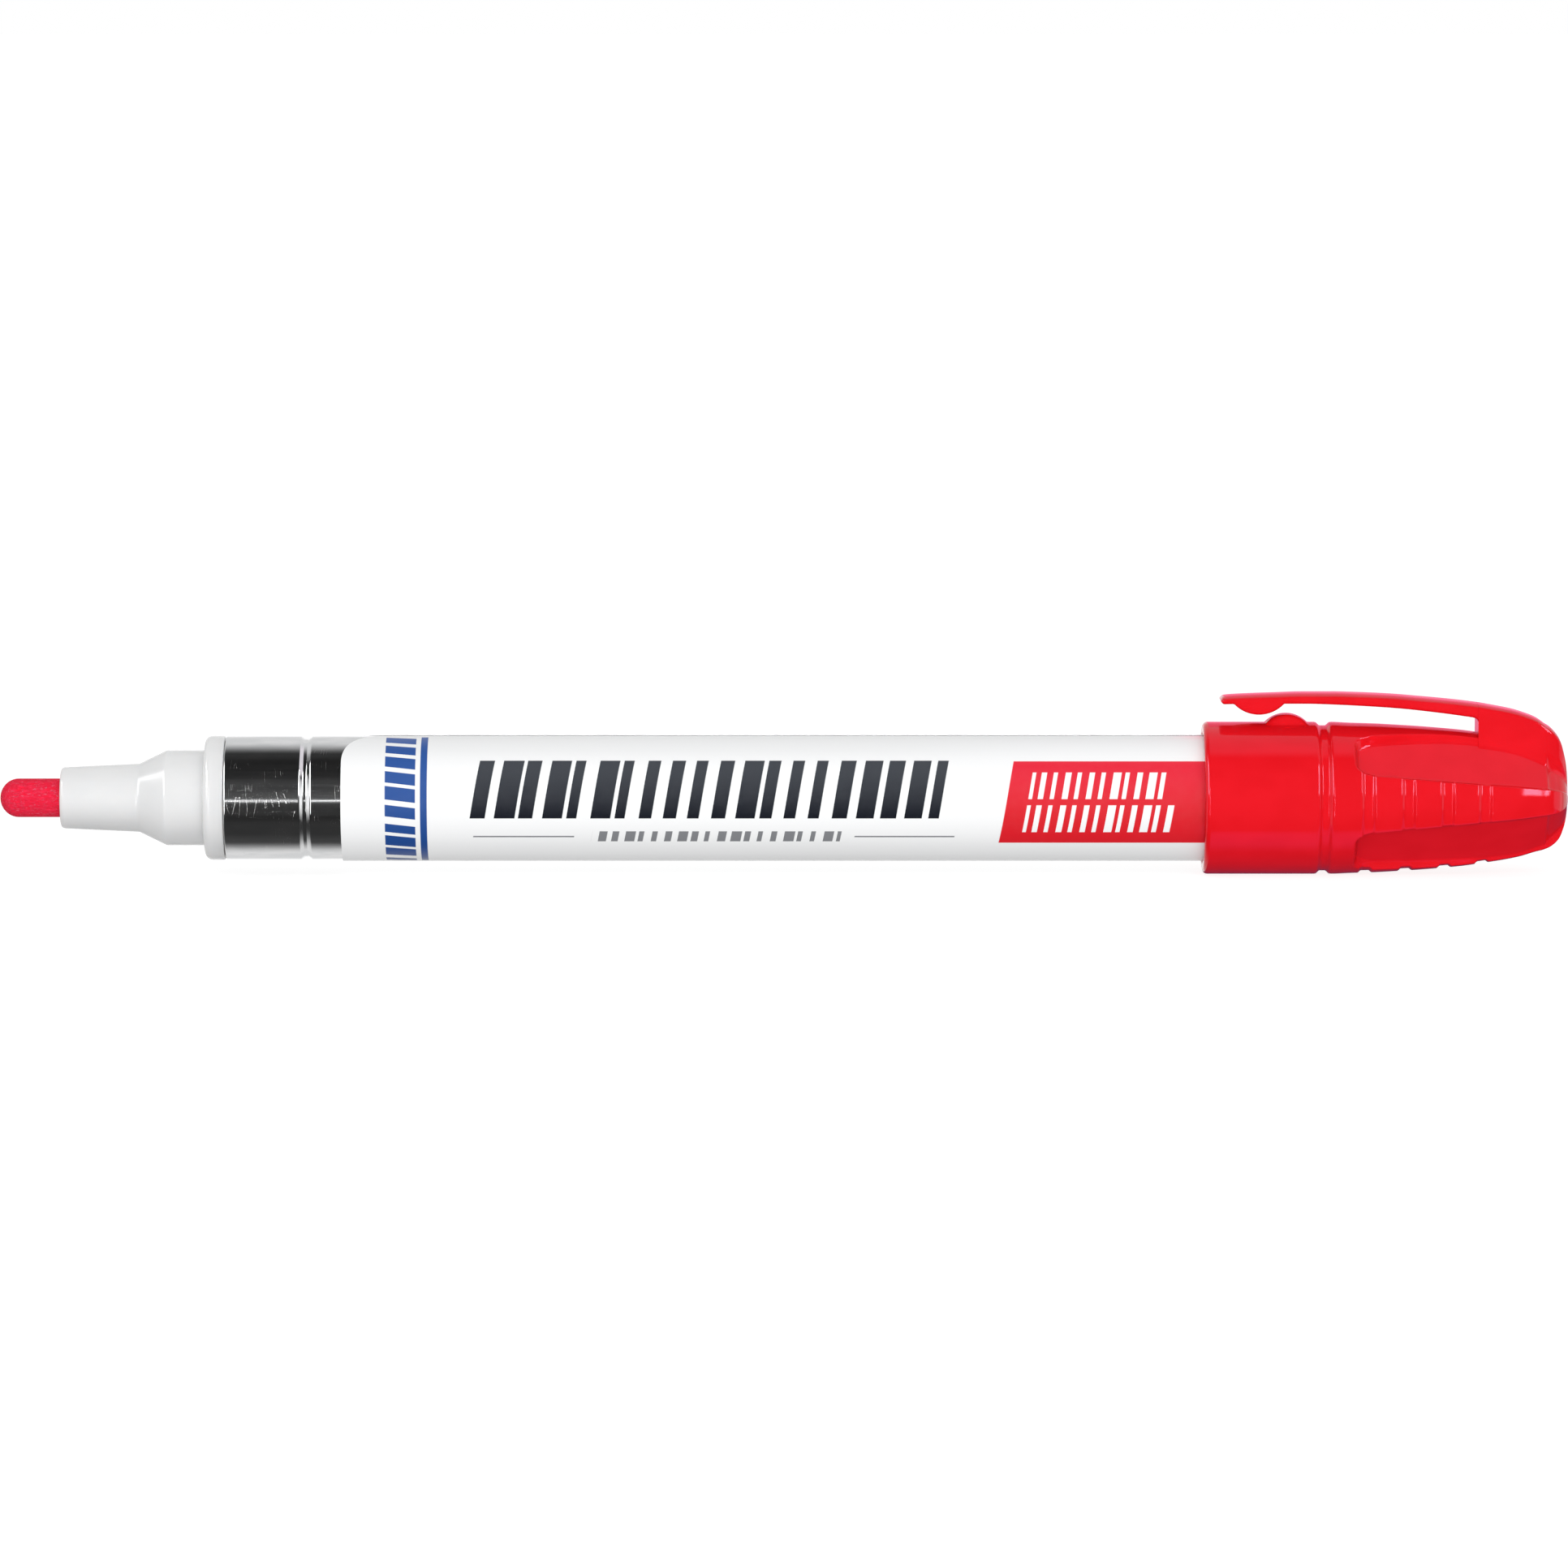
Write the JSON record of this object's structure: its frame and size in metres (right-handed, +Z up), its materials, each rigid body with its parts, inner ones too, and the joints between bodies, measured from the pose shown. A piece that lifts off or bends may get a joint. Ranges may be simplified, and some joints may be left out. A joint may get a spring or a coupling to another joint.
{
  "type": "paint marker",
  "caption": "Valve-action bullet tip paint marker with a metal barrel, a wrap label, and a clip cap posted on its tail.",
  "frame": {"origin": "middle of the posted length, straight below the marker's axis at the lowest facet of the cap's skirt", "axes": "+X along the marker's axis towards the cap's closed end, the nib points along -X; +Z up, through the clip"},
  "size_m": [0.1608, 0.0156, 0.0187],
  "materials": {
    "barrel_aluminium": "drawn and polished, fine lengthwise scratches",
    "printed_label": "printed film, soft gloss",
    "milky_plastic": "moulded milky polypropylene, satin",
    "white_plastic": "moulded, satin",
    "red_plastic": "moulded, high gloss",
    "red_fibre": "bonded fibre soaked in ink",
    "pale_felt": "pressed felt",
    "seal_rubber": "matt",
    "spring_steel": "bright drawn wire",
    "ball_steel": "polished"
  },
  "bodies": {
    "barrel": {"barrel_tube": "barrel_aluminium", "wrap_label": "printed_label", "nozzle": "milky_plastic", "nozzle_o_ring": "seal_rubber", "nib_feeder": "pale_felt", "valve_housing": "white_plastic", "seat_washer": "seal_rubber", "valve_spring": "spring_steel", "spring_retainer": "white_plastic"},
    "nib": {"fibre_nib": "red_fibre"},
    "valve": {"valve_stem": "white_plastic"},
    "ball": {"mixing_ball": "ball_steel"},
    "cap": {"cap_shell": "red_plastic", "cap_liner": "white_plastic"},
    "clip": {"cap_clip": "red_plastic"}
  },
  "joints": [
    {"name": "cap_pull", "type": "slide", "parent": "barrel", "child": "cap", "axis": [1, 0, 0], "range_m": [0, 0.03]},
    {"name": "clip_flex", "type": "hinge", "parent": "cap", "child": "clip", "pos_m": [0.07095, 0, 0.01688], "axis": [0, 1, 0], "range_deg": [0, 7], "stiffness_Nm_per_rad": 1},
    {"name": "nib_press", "type": "slide", "parent": "barrel", "child": "nib", "axis": [1, 0, 0], "range_m": [0, 0.0018]},
    {"name": "valve_open", "type": "slide", "parent": "barrel", "child": "valve", "axis": [1, 0, 0], "range_m": [0, 0.0018], "stiffness_N_per_m": 800, "springref_m": -0.001, "deforming": ["valve_spring"]},
    {"name": "ball_roll", "type": "slide", "parent": "barrel", "child": "ball", "axis": [1, 0, 0], "range_m": [0, 0.081]}
  ],
  "couplings": [
    {"joint": "valve_open", "follows": "nib_press", "ratio": 1}
  ]
}
